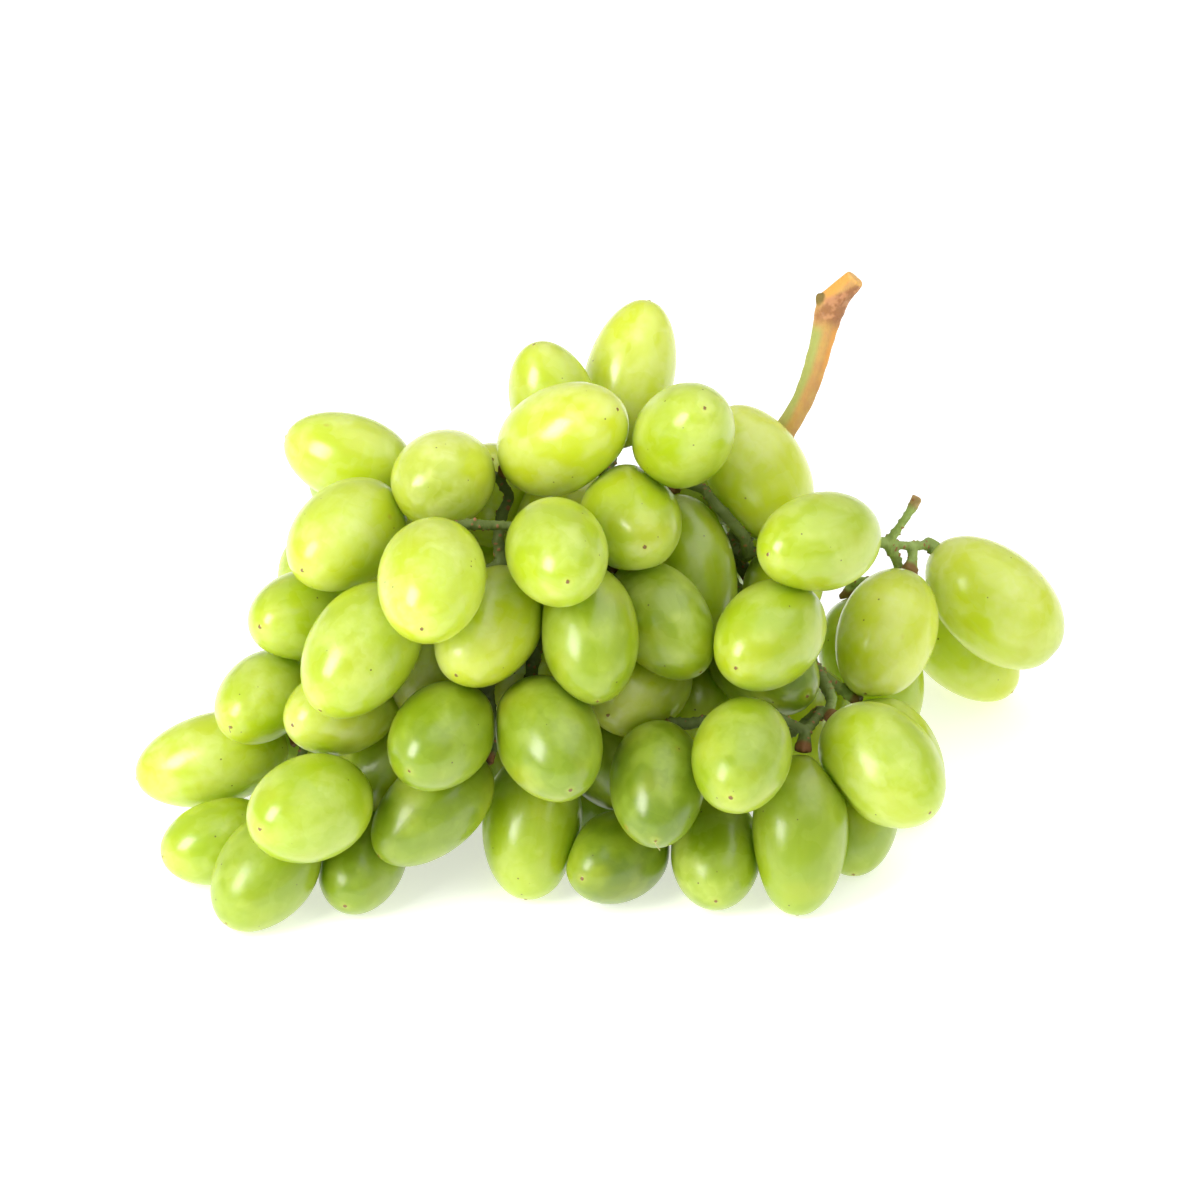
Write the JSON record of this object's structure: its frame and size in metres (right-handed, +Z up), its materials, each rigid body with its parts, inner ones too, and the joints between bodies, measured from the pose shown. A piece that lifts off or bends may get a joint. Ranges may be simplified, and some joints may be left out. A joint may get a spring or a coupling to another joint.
{
  "type": "bunch of grapes",
  "caption": "Bunch of white table grapes lying on its side, with oval pale green berries on a branched stalk whose cut end stands up.",
  "frame": {"origin": "on the surface that the bunch lies on, under the middle of its box", "axes": "+X along the bunch, from its tip to the stalk end; +Z up; the front of the bunch faces -Y"},
  "size_m": [0.1728, 0.117, 0.0938],
  "materials": {
    "stalk": "matt green and brown stem with small corky dots, tan and orange at the cut end",
    "berry_skin": "translucent yellow-green skin, satin, with a thin waxy bloom and fine dark specks",
    "shaded_berry_skin": "the same skin, greener where the berries are hidden from the light"
  },
  "bodies": {
    "root": {"stalk": "stalk", "berry_01": "berry_skin", "berry_02": "berry_skin", "berry_03": "berry_skin", "berry_04": "berry_skin", "berry_05": "berry_skin", "berry_06": "berry_skin", "berry_07": "berry_skin", "berry_08": "berry_skin", "berry_09": "berry_skin", "berry_10": "berry_skin", "berry_11": "berry_skin", "berry_12": "berry_skin", "berry_13": "berry_skin", "berry_14": "berry_skin", "berry_15": "berry_skin", "berry_16": "berry_skin", "berry_17": "berry_skin", "berry_18": "berry_skin", "berry_19": "berry_skin", "berry_20": "berry_skin", "berry_21": "berry_skin", "berry_22": "berry_skin", "berry_23": "berry_skin", "berry_24": "berry_skin", "berry_25": "berry_skin", "berry_26": "berry_skin", "berry_27": "berry_skin", "berry_28": "berry_skin", "berry_29": "berry_skin", "berry_30": "berry_skin", "berry_31": "berry_skin", "berry_32": "berry_skin", "berry_33": "berry_skin", "berry_34": "berry_skin", "berry_35": "berry_skin", "berry_36": "berry_skin", "berry_37": "berry_skin", "berry_38": "berry_skin", "berry_39": "berry_skin", "berry_40": "berry_skin", "berry_41": "berry_skin", "berry_42": "berry_skin", "berry_43": "berry_skin", "berries_01": "shaded_berry_skin", "berries_02": "shaded_berry_skin", "berries_03": "shaded_berry_skin", "berries_04": "shaded_berry_skin", "berries_05": "shaded_berry_skin", "berries_06": "shaded_berry_skin", "berries_07": "shaded_berry_skin", "berries_08": "shaded_berry_skin", "berries_09": "shaded_berry_skin", "berries_10": "shaded_berry_skin", "berries_11": "shaded_berry_skin", "berries_12": "shaded_berry_skin", "berries_13": "shaded_berry_skin", "berries_14": "shaded_berry_skin", "berries_15": "shaded_berry_skin"}
  },
  "joints": []
}
